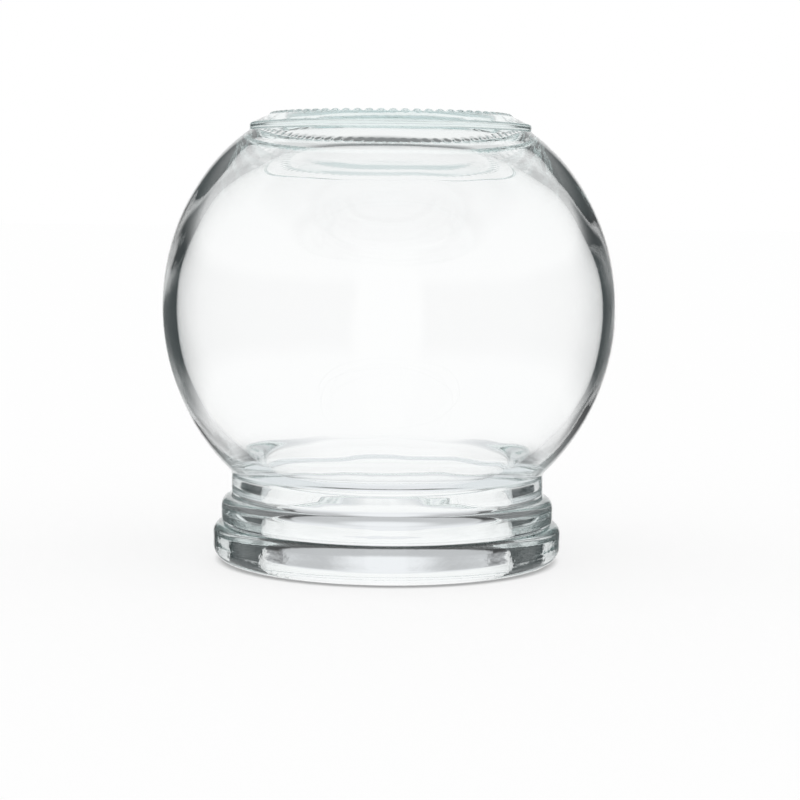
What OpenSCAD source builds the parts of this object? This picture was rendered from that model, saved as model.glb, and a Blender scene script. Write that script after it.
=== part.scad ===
// Cupping glass: a one-piece blown and moulded cup, standing on its mouth.
// The origin is the centre of the rim's face and +Z runs up the axis to the closed end.

/* [Rim] */
// Outside diameter of the rim
rim_d = 61.8; // [60:0.2:68]
// Height of the rim, from its face to the groove
rim_h = 6.7; // [5.5:0.1:9]
// Rounding of the rim's lower outside edge
rim_round = 2.6; // [1.5:0.1:3]
// Rounding of the rim's upper outside edge
rim_shoulder = 1.75; // [1:0.05:2.2]
// Rounding of the mouth's edge, between the rim's face and the throat
mouth_round = 2; // [1:0.1:3]

/* [Bead] */
// Outside diameter of the bead above the rim
bead_d = 59; // [57:0.1:60]
// Height of the bead
bead_h = 4.7; // [3.5:0.1:6]
// Rounding of the bead's upper edge
bead_round = 1.85; // [1:0.05:2.5]
// Rounding of the bead's lower edge
bead_under = 0.7; // [0.3:0.05:0.9]
// Depth of the groove between the bead and the rim, measured from the bead
groove_depth = 0.4; // [0.2:0.05:0.6]

/* [Neck] */
// Outside diameter of the neck
neck_d = 55.4; // [51:0.2:57]
// Height of the straight neck, from the bead to the bowl
neck_h = 4.35; // [3:0.05:8]
// Glass thickness at the neck
neck_wall = 5.2; // [3.5:0.1:6]
// Fillet between the neck and the bowl on the outside
neck_fillet = 1.2; // [0.6:0.1:2]
// Rounding between the throat and the bowl on the inside
throat_round = 2.8; // [1.5:0.1:4]

/* [Bowl] */
// Outside diameter of the bowl at its widest
bowl_d = 80; // [74:0.5:92]
// Radius of the outside below the base, where the bowl turns in a little faster
shoulder_r = 31.75; // [28:0.25:36]
// Glass thickness of the bowl at its widest
bowl_wall = 2.3; // [1.6:0.1:3.5]
// How much the glass gains towards the neck
neck_gain = 2.5; // [0.5:0.1:4]
// Radius of the flat part of the bowl's inner floor
floor_flat = 16.4; // [13:0.2:18]
// Radius of the inner corner between the floor and the side
floor_round = 14; // [11:0.5:16]

/* [Base] */
// Diameter of the upright edge of the base
heel_d = 49.5; // [47:0.1:54]
// Height of that edge
edge_h = 1.2; // [0.6:0.1:2]
// Height of the slope from that edge up to the ring that the base stands on
slope_h = 1.6; // [1:0.1:2.5]
// Outside diameter of the flat ring under the bumps
ring_d = 42.2; // [41:0.1:44]
// Glass thickness at the middle of the base
base_wall = 4.2; // [3.5:0.1:6]
// Diameter of the hollow inside the ring
hollow_d = 35; // [30:0.5:36]
// Depth of that hollow
hollow_depth = 1.2; // [0.6:0.1:2]

/* [Bumps] */
// Diameter of the circle that the bumps stand on
bump_circle_d = 41.2; // [40.4:0.1:41.4]
// Number of bumps round the ring
bump_count = 65; // [48:1:72]
// Width of one bump where it meets the ring
bump_w = 1.5; // [1:0.05:1.6]
// Height of one bump
bump_h = 0.36; // [0.3:0.02:0.6]

/* [Hidden] */
$fn = 128;
bump_facets = 24;
// How far a cutting shape runs past the face that it cuts
past = 1;
// How far a fillet runs past touching the wall that it meets
bite = 0.001;

function hundredth(length) = round(length * 100) / 100;
function leg(hypotenuse, other) = sqrt(hypotenuse * hypotenuse - other * other);

rim_r = rim_d / 2;
bead_r = bead_d / 2;
neck_r = neck_d / 2;
throat_r = neck_r - neck_wall;
bowl_r = bowl_d / 2;
heel_r = heel_d / 2;
ring_r = ring_d / 2;
hollow_r = hollow_d / 2;
bump_circle_r = bump_circle_d / 2;

// Heights of the outside above the rim's face
bead_z = rim_h + bead_h;
neck_z = bead_z + neck_h;
bowl_z = neck_z + leg(bowl_r, neck_r);
bowl_c = [0, bowl_z];

// The shoulder's arc leaves the bowl where the bowl's radius rises 3 in 5
shoulder_dir = [0.8, 0.6];
shoulder_c = bowl_c + (bowl_r - shoulder_r) * shoulder_dir;
edge_z = shoulder_c.y + hundredth(leg(shoulder_r, heel_r - shoulder_c.x));
slope_z = edge_z + edge_h;
ring_z = slope_z + slope_h;
floor_z = ring_z - hollow_depth - base_wall;

// The outside fillet touches the neck and the bowl
neck_fillet_c = [
    neck_r + neck_fillet,
    bowl_z - leg(bowl_r + neck_fillet, neck_r + neck_fillet) + bite
];

// The mouth's edge is a quarter round that ends upright at the throat
mouth_c = [throat_r + mouth_round, mouth_round];

// The lower half of the cavity is an arc centred off the axis, so its glass thickens downwards
cavity_r = bowl_r - bowl_wall;
lower_r = cavity_r - neck_gain;
lower_c = [neck_gain, bowl_z];
throat_round_c = [
    throat_r + throat_round,
    bowl_z - leg(lower_r + throat_round, throat_r + throat_round - neck_gain) + bite
];

// The upper half is an arc that runs smoothly into the floor's rounded corner
corner_c = [floor_flat, floor_z - floor_round];
corner_rise = corner_c.y - bowl_z;
corner_in = floor_flat - cavity_r;
upper_r = hundredth((pow(floor_round, 2) - pow(corner_in, 2) - pow(corner_rise, 2))
    / (2 * (corner_in + floor_round)));
upper_c = [cavity_r - upper_r, bowl_z];
corner_dir = (corner_c - upper_c) / norm(corner_c - upper_c);
corner_p = corner_c + floor_round * corner_dir;

// Spheres of the hollow in the base and of one bump
hollow_ball = (hollow_r * hollow_r + hollow_depth * hollow_depth) / (2 * hollow_depth);
bump_ball = (pow(bump_w / 2, 2) + bump_h * bump_h) / (2 * bump_h);

// A disc in the profile plane
module disc(c, r) {
    translate(c) circle(r);
}

// A rectangle in the profile plane, from the axis out to r and from one height to another
module band(r, z0, z1) {
    translate([0, z0]) square([r, z1 - z0]);
}

// A band with its two outer edges rounded
module rounded_band(r, z0, z1, lower, upper) {
    polygon([[0, z0], [r - lower, z0], [r, z0 + lower], [r, z1 - upper], [r - upper, z1], [0, z1]]);
    disc([r - lower, z0 + lower], lower);
    disc([r - upper, z1 - upper], upper);
}

module rim_profile() {
    rounded_band(rim_r, 0, rim_h, rim_round, rim_shoulder);
}

module bead_profile() {
    rounded_band(bead_r, rim_h, bead_z, bead_under, bead_round);
    // The floor of the groove
    band(bead_r - groove_depth, rim_h - rim_shoulder, rim_h + bead_under);
}

module neck_profile() {
    band(neck_r, rim_h, bowl_z);
    difference() {
        polygon([[0, neck_fillet_c.y], neck_fillet_c, bowl_c]);
        disc(neck_fillet_c, neck_fillet);
    }
}

module bowl_profile() {
    intersection() {
        disc(bowl_c, bowl_r);
        polygon([bowl_c, [0, 0], [bowl_d, 0], bowl_c + bowl_d * shoulder_dir]);
    }
    intersection() {
        disc(shoulder_c, shoulder_r);
        band(bowl_d, bowl_z, edge_z + edge_h / 2);
    }
}

module base_profile() {
    difference() {
        polygon([bowl_c, [heel_r, bowl_z], [heel_r, slope_z], [ring_r, ring_z], [0, ring_z]]);
        disc([0, ring_z - hollow_depth + hollow_ball], hollow_ball);
    }
}

module mouth_profile() {
    difference() {
        band(mouth_c.x, -past, mouth_c.y);
        disc(mouth_c, mouth_round);
    }
    band(throat_r, 0, bowl_z);
}

module lower_cavity_profile() {
    difference() {
        polygon([[0, throat_round_c.y], throat_round_c, lower_c, bowl_c]);
        disc(throat_round_c, throat_round);
    }
    intersection() {
        disc(lower_c, lower_r);
        band(bowl_d, 0, bowl_z);
    }
}

module upper_cavity_profile() {
    polygon([bowl_c, [cavity_r, bowl_z], corner_p, [floor_flat, floor_z], [0, floor_z]]);
    intersection() {
        disc(upper_c, upper_r);
        polygon([upper_c, upper_c - [0, past], [bowl_d, bowl_z - past], upper_c + bowl_d * corner_dir]);
    }
    disc(corner_c, floor_round);
}

// The ring of domes that the glass stands on when it is turned mouth up
module bumps() {
    for (i = [0 : bump_count - 1])
        rotate(i * 360 / bump_count)
            translate([bump_circle_r, 0, ring_z + bump_h - bump_ball])
                sphere(bump_ball, $fn = bump_facets);
}

module cupping_glass() {
    color([0.86, 0.92, 0.91, 0.45]) {
        rotate_extrude()
            difference() {
                union() {
                    rim_profile();
                    bead_profile();
                    neck_profile();
                    bowl_profile();
                    base_profile();
                }
                mouth_profile();
                lower_cavity_profile();
                upper_cavity_profile();
            }
        bumps();
    }
}

cupping_glass();
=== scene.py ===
import math

import bpy
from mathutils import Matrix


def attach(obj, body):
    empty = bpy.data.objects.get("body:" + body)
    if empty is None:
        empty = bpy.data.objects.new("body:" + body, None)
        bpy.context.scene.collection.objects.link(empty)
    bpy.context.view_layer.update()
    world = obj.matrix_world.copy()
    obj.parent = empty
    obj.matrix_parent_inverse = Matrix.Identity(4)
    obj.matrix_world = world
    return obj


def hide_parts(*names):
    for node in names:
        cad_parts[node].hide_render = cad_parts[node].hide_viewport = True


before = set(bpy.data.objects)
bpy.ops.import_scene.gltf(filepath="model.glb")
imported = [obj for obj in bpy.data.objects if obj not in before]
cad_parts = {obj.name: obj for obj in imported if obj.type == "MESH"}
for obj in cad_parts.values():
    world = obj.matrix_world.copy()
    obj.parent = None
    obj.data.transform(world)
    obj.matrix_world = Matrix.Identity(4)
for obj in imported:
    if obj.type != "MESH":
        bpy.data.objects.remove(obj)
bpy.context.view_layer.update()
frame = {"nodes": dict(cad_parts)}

mm = 0.001
toDegrees = 180 / math.pi
scene = bpy.context.scene
scene.view_settings.view_transform = "Standard"
# light is thrown about inside thick glass many times before it leaves
scene.cycles.max_bounces = 32
scene.cycles.glossy_bounces = 24
scene.cycles.transmission_bounces = 24
print("frame loaded:", ", ".join(frame["nodes"]))


# camera: just under the level of the base, tipped down a little, the cup slightly left of centre
cameraSet = {
    "distance": 370,
    "height": 62.5,
    "aside": 2.126,
    "tipDown": 5.292,  # degrees, as is the roll
    "roll": 0.597,
    "lens": 93.986,
    "sensor": 36,
    "clipFrom": 0.01,  # metres
    "clipTo": 50,
}


def makeCamera():
    cameraData = bpy.data.cameras.new("photoCamera")
    cameraData.lens = cameraSet["lens"]
    cameraData.sensor_width = cameraSet["sensor"]
    cameraData.clip_start = cameraSet["clipFrom"]
    cameraData.clip_end = cameraSet["clipTo"]
    camera = bpy.data.objects.new("photoCamera", cameraData)
    scene.collection.objects.link(camera)
    camera.location = (cameraSet["aside"] * mm, -cameraSet["distance"] * mm, cameraSet["height"] * mm)
    camera.rotation_euler = (math.radians(90 - cameraSet["tipDown"]), 0, 0)
    camera.rotation_euler.rotate_axis("Z", math.radians(cameraSet["roll"]))
    scene.camera = camera
    print("camera set")


makeCamera()


# small helpers for node trees
def addNode(tree, kind, **values):
    node = tree.nodes.new(kind)
    for name, value in values.items():
        setattr(node, name, value)
    return node


def mathNode(tree, operation, first, second=None, third=None):
    node = addNode(tree, "ShaderNodeMath", operation=operation)
    for socket, value in zip(node.inputs, (first, second, third)):
        if value is None:
            continue
        if isinstance(value, (int, float)):
            socket.default_value = value
        else:
            tree.links.new(value, socket)
    return node.outputs[0]


def smoothStep(tree, value, low, high):
    node = addNode(tree, "ShaderNodeMapRange", interpolation_type="SMOOTHSTEP", clamp=True)
    tree.links.new(value, node.inputs["Value"])
    node.inputs["From Min"].default_value = low
    node.inputs["From Max"].default_value = high
    return node.outputs["Result"]


def between(tree, part, first, second):
    # first where part is 0, second where it is 1; both may be numbers or sockets
    step = mathNode(tree, "SUBTRACT", second, first)
    return mathNode(tree, "MULTIPLY_ADD", part, step, first)


def splitPlace(tree, place):
    split = addNode(tree, "ShaderNodeSeparateXYZ")
    tree.links.new(place, split.inputs[0])
    return split.outputs[0], split.outputs[1], split.outputs[2]


def outFromAxis(tree, x, y):
    square = mathNode(tree, "MULTIPLY_ADD", x, x, mathNode(tree, "MULTIPLY", y, y))
    return mathNode(tree, "POWER", square, 0.5)


# the middles of the two white windows, in degrees round from the back
windowsAt = (0, 180)


def besideWindows(tree, around):
    # degrees round to the nearest window
    nearest = None
    for window in windowsAt:
        turn = mathNode(tree, "SUBTRACT", around, math.radians(window))
        close = mathNode(tree, "COSINE", turn)
        nearest = close if nearest is None else mathNode(tree, "MAXIMUM", nearest, close)
    return mathNode(tree, "MULTIPLY", mathNode(tree, "ARCCOSINE", nearest), toDegrees)


# studio: white all round; a dim wall between the windows and a dim ceiling only show in the glass
# itself: off its outside, and where light is thrown back inside it, at the edges, rim and base
studioSet = {
    "light": 1.0,
    "windowFrom": 14,  # the wall begins this far to either side of a window, in degrees
    "windowTo": 20,
    "wallFrom": 55,  # the outside reflects the wall this far round from the back
    "wallTo": 75,
    "lowFrom": -30,  # the wall fades below and above these heights, in degrees
    "lowTo": -12,
    "lowLeft": 0.15,
    "highFrom": 12,
    "highTo": 28,
    "highLeft": 0.25,
    "ceilingFrom": 40,
    "ceilingTo": 55,
    "ceiling": 0.8,
    "mirrored": 0.85,
    "thrownOver": 0.5,  # bounces inside the glass, and surfaces crossed, each between whole numbers
    "crossedUnder": 3.5,
    "white": (1, 1, 1, 1),
    "dark": (0.035, 0.046, 0.048, 1),
}


def studioShade(tree, around, rise):
    wall = smoothStep(tree, besideWindows(tree, around), studioSet["windowFrom"], studioSet["windowTo"])
    above = smoothStep(tree, rise, studioSet["lowFrom"], studioSet["lowTo"])
    above = mathNode(tree, "MAXIMUM", above, studioSet["lowLeft"])
    below = smoothStep(tree, rise, studioSet["highTo"], studioSet["highFrom"])
    below = mathNode(tree, "MAXIMUM", below, studioSet["highLeft"])
    wall = mathNode(tree, "MULTIPLY", wall, mathNode(tree, "MULTIPLY", above, below))
    ceiling = smoothStep(tree, rise, studioSet["ceilingFrom"], studioSet["ceilingTo"])
    ceiling = mathNode(tree, "MULTIPLY", ceiling, studioSet["ceiling"])
    return mathNode(tree, "MAXIMUM", wall, ceiling)


def shadeShown(tree, around):
    # light that crosses the whole cup meets four surfaces and stays white
    path = addNode(tree, "ShaderNodeLightPath")
    thrown = mathNode(tree, "GREATER_THAN", path.outputs["Glossy Depth"], studioSet["thrownOver"])
    short = mathNode(tree, "LESS_THAN", path.outputs["Transmission Depth"], studioSet["crossedUnder"])
    inGlass = mathNode(tree, "MULTIPLY", thrown, short)
    through = mathNode(tree, "MULTIPLY", path.outputs["Is Transmission Ray"], inGlass)
    turned = mathNode(tree, "MULTIPLY", mathNode(tree, "ABSOLUTE", around), toDegrees)
    near = smoothStep(tree, turned, studioSet["wallTo"], studioSet["wallFrom"])
    off = mathNode(tree, "MULTIPLY", path.outputs["Is Reflection Ray"], studioSet["mirrored"])
    return mathNode(tree, "MAXIMUM", through, mathNode(tree, "MULTIPLY", off, near))


def makeStudio():
    world = bpy.data.worlds.new("studio")
    world.use_nodes = True
    scene.world = world
    tree = world.node_tree
    background = tree.nodes["Background"]
    background.inputs["Strength"].default_value = studioSet["light"]
    place = addNode(tree, "ShaderNodeTexCoord").outputs["Generated"]
    x, y, z = splitPlace(tree, place)
    around = mathNode(tree, "ARCTAN2", x, y)
    rise = mathNode(tree, "MULTIPLY", mathNode(tree, "ARCSINE", z), toDegrees)
    shade = mathNode(tree, "MULTIPLY", studioShade(tree, around, rise), shadeShown(tree, around))
    mix = addNode(tree, "ShaderNodeMix", data_type="RGBA")
    # a mix of colours has its own sockets, after those of numbers and vectors
    part, first, second, mixed = mix.inputs[0], mix.inputs[6], mix.inputs[7], mix.outputs[2]
    first.default_value = studioSet["white"]
    second.default_value = studioSet["dark"]
    tree.links.new(shade, part)
    tree.links.new(mixed, background.inputs["Color"])
    print("studio set")


makeStudio()


# floor: pale and matt, large enough to fill every view; seen through the glass it is an emission with
# painted shade:
# painted shadow dark where the rim stands, greyer inside the mouth, and darker close to the cup's sides
floorSet = {
    "size": 12,  # metres; the other lengths are millimetres, most of them out from the axis
    "level": -0.15,
    "colour": (0.3, 0.3, 0.3, 1),
    "glow": 0.73,
    "middle": 0.92,  # painted shade, as brightness through the glass, from the middle of the mouth outwards
    "mouth": 0.56,
    "mouthBack": 0.9,
    "mouthFrom": 5,
    "mouthTo": 12,
    # stand, under, behind and beside: levels of painted shadow of the rim and cup on the floor, seen
    # through the glass
    "stand": 0.02,
    "standBack": 0.9,
    "standFrom": 18.6,
    "standTo": 20,
    "under": 0.85,
    "underFrom": 23.5,
    "underTo": 25.5,
    "behind": 0.75,
    "beside": 0.15,
    "rimFrom": 30,
    "rimTo": 33,
    "fadeFrom": 36,
    "fadeTo": 48,
    "backFrom": -4,  # the near side turns into the back one here, along the view
    "backTo": 14,
    "besideFrom": 28,  # degrees to either side of a window
    "besideTo": 50,
    "tone": (0.955, 0.975, 1, 1),
    # contact: painted contact shadow, the share of the floor's glow left in a thin ring round the rim's
    # foot
    "contact": 0.4,
    "contactFrom": 28.8,
    "contactTo": 31.2,
}


def floorStep(tree, value, name):
    return smoothStep(tree, value, floorSet[name + "From"], floorSet[name + "To"])


def paintedShadeThroughGlass(tree, x, y, reach):
    # painted shade: the near side is painted dark, as if the light came from behind
    back = smoothStep(tree, y, floorSet["backFrom"] * mm, floorSet["backTo"] * mm)
    mouth = between(tree, back, floorSet["mouth"], floorSet["mouthBack"])
    stand = between(tree, back, floorSet["stand"], floorSet["standBack"])
    aside = besideWindows(tree, mathNode(tree, "ARCTAN2", x, y))
    outside = between(tree, floorStep(tree, aside, "beside"), floorSet["behind"], floorSet["beside"])
    paintedShade = between(tree, floorStep(tree, reach, "mouth"), floorSet["middle"], mouth)
    paintedShade = between(tree, floorStep(tree, reach, "stand"), paintedShade, stand)
    paintedShade = between(tree, floorStep(tree, reach, "under"), paintedShade, floorSet["under"])
    paintedShade = between(tree, floorStep(tree, reach, "rim"), paintedShade, outside)
    seen = addNode(tree, "ShaderNodeEmission")
    seen.inputs["Color"].default_value = floorSet["tone"]
    tree.links.new(paintedShade, seen.inputs["Strength"])
    fade = addNode(tree, "ShaderNodeMixShader")
    tree.links.new(floorStep(tree, reach, "fade"), fade.inputs[0])
    tree.links.new(seen.outputs[0], fade.inputs[1])
    tree.links.new(addNode(tree, "ShaderNodeBsdfTransparent").outputs[0], fade.inputs[2])
    return fade.outputs[0]


def floorDirect(tree, path, reach):
    # the glow lifts the floor to the white of the photo, for the camera alone
    matt = addNode(tree, "ShaderNodeBsdfDiffuse")
    matt.inputs["Color"].default_value = floorSet["colour"]
    # painted contact shadow: the glow is dimmed in a thin ring round the rim's foot
    near = between(tree, floorStep(tree, reach, "contact"), floorSet["contact"], 1)
    shown = mathNode(tree, "MULTIPLY", path.outputs["Is Camera Ray"], floorSet["glow"])
    glow = addNode(tree, "ShaderNodeEmission")
    tree.links.new(mathNode(tree, "MULTIPLY", shown, near), glow.inputs["Strength"])
    direct = addNode(tree, "ShaderNodeAddShader")
    tree.links.new(matt.outputs[0], direct.inputs[0])
    tree.links.new(glow.outputs[0], direct.inputs[1])
    return direct.outputs[0]


def makeFloor():
    bpy.ops.object.select_all(action="DESELECT")
    bpy.ops.mesh.primitive_plane_add(size=floorSet["size"], location=(0, 0, floorSet["level"] * mm))
    floor = bpy.context.object
    floor.name = "floor"
    material = bpy.data.materials.new("paleFloor")
    material.use_nodes = True
    tree = material.node_tree
    tree.nodes.clear()
    output = addNode(tree, "ShaderNodeOutputMaterial")
    path = addNode(tree, "ShaderNodeLightPath")
    x, y, _ = splitPlace(tree, addNode(tree, "ShaderNodeTexCoord").outputs["Object"])
    reach = mathNode(tree, "DIVIDE", outFromAxis(tree, x, y), mm)
    through = addNode(tree, "ShaderNodeMixShader")
    tree.links.new(path.outputs["Is Transmission Ray"], through.inputs[0])
    tree.links.new(floorDirect(tree, path, reach), through.inputs[1])
    tree.links.new(paintedShadeThroughGlass(tree, x, y, reach), through.inputs[2])
    tree.links.new(through.outputs[0], output.inputs["Surface"])
    floor.data.materials.append(material)
    floor.visible_glossy = False
    print("floor laid")


makeFloor()


# the cup's sizes, in millimetres from the axis and up from the rim's face
cupSet = {
    "turns": 520,
    "start": (0, 77.207),  # the middle of the hollow in the base
    "weld": 0.002,
    "bumps": 65,
    "bumpWidth": 1.5,
    "bumpHeight": 0.36,
    "bumpCircle": 41.2,
    "bumpsAbove": 78.3,
    "onCircle": 0.01,
    "onBump": 0.01,  # share of the way to the next bump
}

# each step goes on from the last point, in so many parts: a straight line to an end,
# or an arc about a centre to an end
cupOutside = [
    ("arc", (0, 205.411), (17.5, 78.407), 7),
    ("line", (19.8, 78.407), 2),
    ("line", (20.6, 78.407), 4),
    ("line", (20.849, 78.407), 1),
    ("arc", (20.849, 77.207), (21.33, 78.306), 3),
    ("line", (21.6, 78.188), 1),
    ("line", (24.481, 76.925), 4),
    ("arc", (24.3, 76.513), (24.75, 76.513), 6),
    ("line", (24.75, 75.815), 2),
    ("arc", (25.15, 75.815), (24.919, 75.489), 5),
    ("arc", (6.6, 49.557), (32, 68.607), 9),
    ("arc", (0, 44.607), (28.058, 16.099), 28),
    ("arc", (28.9, 15.244), (27.7, 15.244), 3),
    ("line", (27.7, 11.4), 4),
    ("arc", (27.65, 9.55), (29.5, 9.55), 6),
    ("line", (29.5, 7.4), 3),
    ("arc", (28.8, 7.4), (29.1, 6.768), 3),
    ("line", (29.1, 6.699), 1),
    ("arc", (29.15, 4.95), (30.9, 4.95), 6),
    ("line", (30.9, 2.6), 3),
    ("arc", (28.3, 2.6), (28.3, 0), 8),
    ("line", (24.5, 0), 2),
]
cupInside = [
    ("arc", (24.5, 2), (22.5, 2), 6),
    ("line", (22.5, 14.208), 9),
    ("arc", (25.3, 14.208), (23.62, 16.448), 4),
    ("arc", (2.5, 44.607), (37.7, 44.607), 22),
    ("arc", (5.85, 44.607), (24.674, 70.3), 18),
    ("arc", (16.4, 59.007), (16.4, 73.007), 10),
    ("line", (0, 73.007), 6),
]


def drawProfile(start, steps):
    at = start
    for kind, *rest in steps:
        if kind == "line":
            end, parts = rest
            move = ((end[0] - at[0]) * mm / parts, 0, (end[1] - at[1]) * mm / parts)
            for _ in range(parts):
                bpy.ops.mesh.extrude_region_move(TRANSFORM_OT_translate={"value": move})
        else:
            centre, end, parts = rest
            first = math.atan2(at[1] - centre[1], at[0] - centre[0])
            last = math.atan2(end[1] - centre[1], end[0] - centre[0])
            sweep = (last - first + math.pi) % (2 * math.pi) - math.pi  # the short way round
            bpy.ops.mesh.spin(
                steps=parts, angle=sweep, center=(centre[0] * mm, 0, centre[1] * mm), axis=(0, 1, 0)
            )
        at = end
    return at


def raiseBumps(cup):
    bpy.ops.mesh.select_all(action="DESELECT")
    bpy.ops.object.mode_set(mode="OBJECT")
    circle = cupSet["bumpCircle"] / 2 * mm
    every = 2 * math.pi / cupSet["bumps"]
    for point in cup.data.vertices:
        x, y, z = point.co
        offCircle = abs(math.hypot(x, y) - circle) > cupSet["onCircle"] * mm
        if z < cupSet["bumpsAbove"] * mm or offCircle:
            continue
        part = math.atan2(y, x) / every
        point.select = abs(part - round(part)) < cupSet["onBump"]
    bpy.ops.object.mode_set(mode="EDIT")
    bpy.ops.transform.translate(
        value=(0, 0, cupSet["bumpHeight"] * mm), use_proportional_edit=True,
        proportional_edit_falloff="SPHERE", proportional_size=cupSet["bumpWidth"] / 2 * mm,
    )
    bpy.ops.object.mode_set(mode="OBJECT")
    print("bumps raised")


def makeCup():
    bpy.ops.object.select_all(action="DESELECT")
    # a small plane merged into its middle is the profile's first point
    bpy.ops.mesh.primitive_plane_add(size=mm, location=(0, 0, 0))
    cup = bpy.context.object
    cup.name = "cupGlass"
    bpy.ops.object.mode_set(mode="EDIT")
    bpy.ops.mesh.select_mode(type="VERT")
    bpy.ops.mesh.select_all(action="SELECT")
    bpy.ops.mesh.merge(type="CENTER")
    bpy.ops.transform.translate(value=(0, 0, cupSet["start"][1] * mm))
    end = drawProfile(cupSet["start"], cupOutside)
    drawProfile(end, cupInside)
    bpy.ops.object.mode_set(mode="OBJECT")
    print("profile drawn:", len(cup.data.vertices), "points")
    # spin an eighth of the round, then double it up three times
    bpy.ops.object.mode_set(mode="EDIT")
    bpy.ops.mesh.select_all(action="SELECT")
    eighth = math.pi / 4
    bpy.ops.mesh.spin(steps=cupSet["turns"] // 8, angle=eighth, center=(0, 0, 0), axis=(0, 0, 1))
    for doubling in (1, 2, 4):
        bpy.ops.mesh.select_all(action="SELECT")
        bpy.ops.mesh.duplicate()
        bpy.ops.transform.rotate(
            value=doubling * eighth, orient_axis="Z", orient_type="GLOBAL", center_override=(0, 0, 0)
        )
    bpy.ops.mesh.select_all(action="SELECT")
    bpy.ops.mesh.remove_doubles(threshold=cupSet["weld"] * mm)
    bpy.ops.mesh.normals_make_consistent(inside=False)
    raiseBumps(cup)
    bpy.ops.object.shade_smooth()
    print("cup spun:", len(cup.data.vertices), "points,", len(cup.data.polygons), "faces")
    return cup


cup = makeCup()


# the glass is never quite true: slow swells inside the bowl, small ripples round the neck and rim,
# and faint ones on the outer skin
waveSet = {
    "swell": {"size": 16, "depth": 0.10},
    "ripple": {"size": 5, "depth": 0.018},
    "skin": {"size": 9, "depth": 0.02},
}
waveReach = {"ripplesUnder": 24, "rippleFade": 8, "standsOver": 0.3, "standFade": 1.5}
# half way through the wall: a cylinder up to the bowl, then a ball, and the base
halfWay = {"neckTop": 15, "neckRadius": 25, "bowlMiddle": 44.6, "bowlRadius": 38.2, "base": 75}


def isInner(radius, z):
    if z < halfWay["neckTop"]:
        return radius < halfWay["neckRadius"]
    inBall = math.hypot(radius, z - halfWay["bowlMiddle"]) < halfWay["bowlRadius"]
    return inBall and z < halfWay["base"]


def clamp(value):
    return max(0.0, min(1.0, value))


def groupPoints(cup):
    groups = {name: cup.vertex_groups.new(name=name) for name in waveSet}
    for point in cup.data.vertices:
        radius, z = math.hypot(point.co.x, point.co.y) / mm, point.co.z / mm
        low = clamp((waveReach["ripplesUnder"] - z) / waveReach["rippleFade"])
        standing = clamp((z - waveReach["standsOver"]) / waveReach["standFade"])
        if isInner(radius, z):
            groups["swell"].add([point.index], 1 - low, "REPLACE")
        else:
            groups["skin"].add([point.index], standing, "REPLACE")
        groups["ripple"].add([point.index], low * standing, "REPLACE")


def makeWaves(cup):
    groupPoints(cup)
    bpy.ops.object.select_all(action="DESELECT")
    cup.select_set(True)
    bpy.context.view_layer.objects.active = cup
    for name, wave in waveSet.items():
        cloud = bpy.data.textures.new(name, "CLOUDS")
        cloud.noise_scale = wave["size"] * mm
        cloud.noise_depth = 1
        push = cup.modifiers.new(name, "DISPLACE")
        push.texture = cloud
        push.texture_coords = "LOCAL"
        push.vertex_group = name
        push.mid_level = 0.5
        push.strength = 2 * wave["depth"] * mm
        bpy.ops.object.modifier_apply(modifier=push.name)
    print("waves pressed in")


makeWaves(cup)


# clear soda-lime glass: faintly green where it is thick, mottled by the mould round the rim,
# smudged a little by handling and scuffed where it stands, either way up
glassSet = {
    "ior": 1.52,
    "colour": (1, 1, 1, 1),
    "tint": (0.36, 0.62, 0.60, 1),
    "density": 6,
    "mottle": {"scale": 800, "detail": 2, "depth": 0.03},
    "mottled": {"from": 9, "to": 6, "inner": 26, "outer": 28},  # millimetres up, and out
    "smudge": {"scale": 70, "detail": 4, "from": 0.5, "to": 0.75, "rough": 0.03},
    "scuff": {"scale": 2500, "detail": 2, "from": 0.4, "to": 0.7, "rough": 0.3},
    "scuffed": {"bumpsFrom": 78.45, "bumpsTo": 78.7, "rimFrom": 0.15, "rimTo": 0.02},
}


def noiseNode(tree, place, grain):
    noise = addNode(tree, "ShaderNodeTexNoise")
    tree.links.new(place, noise.inputs["Vector"])
    noise.inputs["Scale"].default_value = grain["scale"]
    noise.inputs["Detail"].default_value = grain["detail"]
    return noise.outputs[0]


def noisePatches(tree, place, grain):
    return smoothStep(tree, noiseNode(tree, place, grain), grain["from"], grain["to"])


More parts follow.
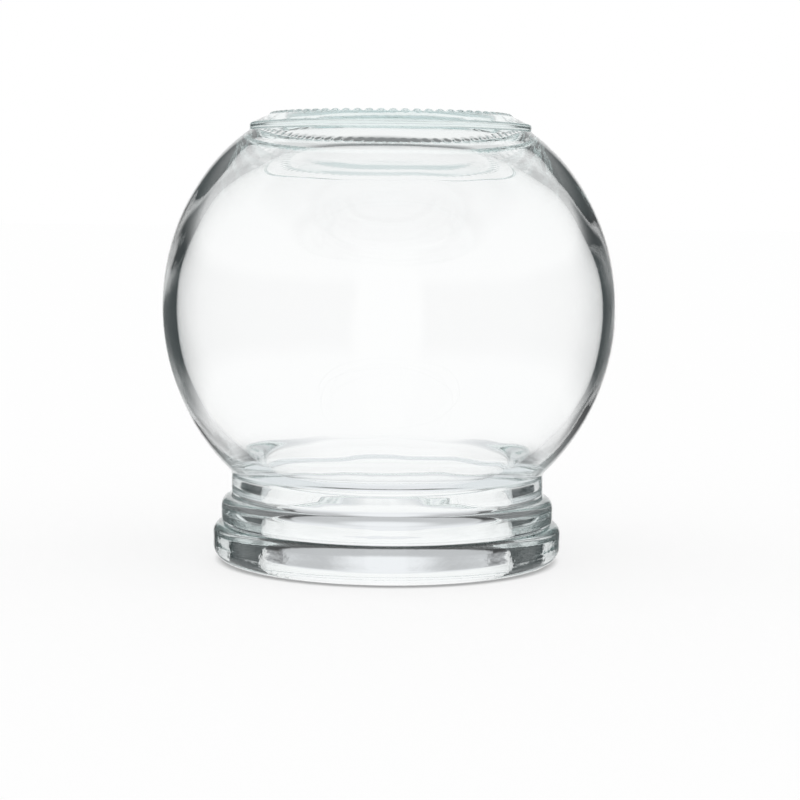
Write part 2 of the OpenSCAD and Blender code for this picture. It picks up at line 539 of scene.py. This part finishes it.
def glassMottle(tree, place, reach, height):
    mottle, mottled = glassSet["mottle"], glassSet["mottled"]
    low = smoothStep(tree, height, mottled["from"] * mm, mottled["to"] * mm)
    out = smoothStep(tree, reach, mottled["inner"] * mm, mottled["outer"] * mm)
    rim = mathNode(tree, "MULTIPLY", low, out)
    bump = addNode(tree, "ShaderNodeBump")
    bump.inputs["Strength"].default_value = 1
    bump.inputs["Distance"].default_value = mottle["depth"] * mm
    grain = mathNode(tree, "MULTIPLY", noiseNode(tree, place, mottle), rim)
    tree.links.new(grain, bump.inputs["Height"])
    return bump.outputs[0]


def glassRoughness(tree, place, height):
    smudge, scuff, scuffed = glassSet["smudge"], glassSet["scuff"], glassSet["scuffed"]
    smudges = mathNode(tree, "MULTIPLY", noisePatches(tree, place, smudge), smudge["rough"])
    onBumps = smoothStep(tree, height, scuffed["bumpsFrom"] * mm, scuffed["bumpsTo"] * mm)
    onRim = smoothStep(tree, height, scuffed["rimFrom"] * mm, scuffed["rimTo"] * mm)
    standing = mathNode(tree, "MAXIMUM", onBumps, onRim)
    worn = mathNode(tree, "MULTIPLY", noisePatches(tree, place, scuff), standing)
    worn = mathNode(tree, "MULTIPLY", worn, scuff["rough"])
    return mathNode(tree, "MAXIMUM", smudges, worn)


def makeGlass():
    material = bpy.data.materials.new("clearGlass")
    material.use_nodes = True
    tree = material.node_tree
    shader = tree.nodes["Principled BSDF"]
    shader.inputs["Base Color"].default_value = glassSet["colour"]
    shader.inputs["Transmission Weight"].default_value = 1
    shader.inputs["IOR"].default_value = glassSet["ior"]
    place = addNode(tree, "ShaderNodeTexCoord").outputs["Object"]
    x, y, height = splitPlace(tree, place)
    reach = outFromAxis(tree, x, y)
    tree.links.new(glassMottle(tree, place, reach, height), shader.inputs["Normal"])
    tree.links.new(glassRoughness(tree, place, height), shader.inputs["Roughness"])
    soak = addNode(tree, "ShaderNodeVolumeAbsorption")
    soak.inputs["Color"].default_value = glassSet["tint"]
    soak.inputs["Density"].default_value = glassSet["density"]
    tree.links.new(soak.outputs[0], tree.nodes["Material Output"].inputs["Volume"])
    return material


cup.data.materials.clear()
cup.data.materials.append(makeGlass())
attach(cup, "root")
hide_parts("cupping_glass")
print("cup finished")
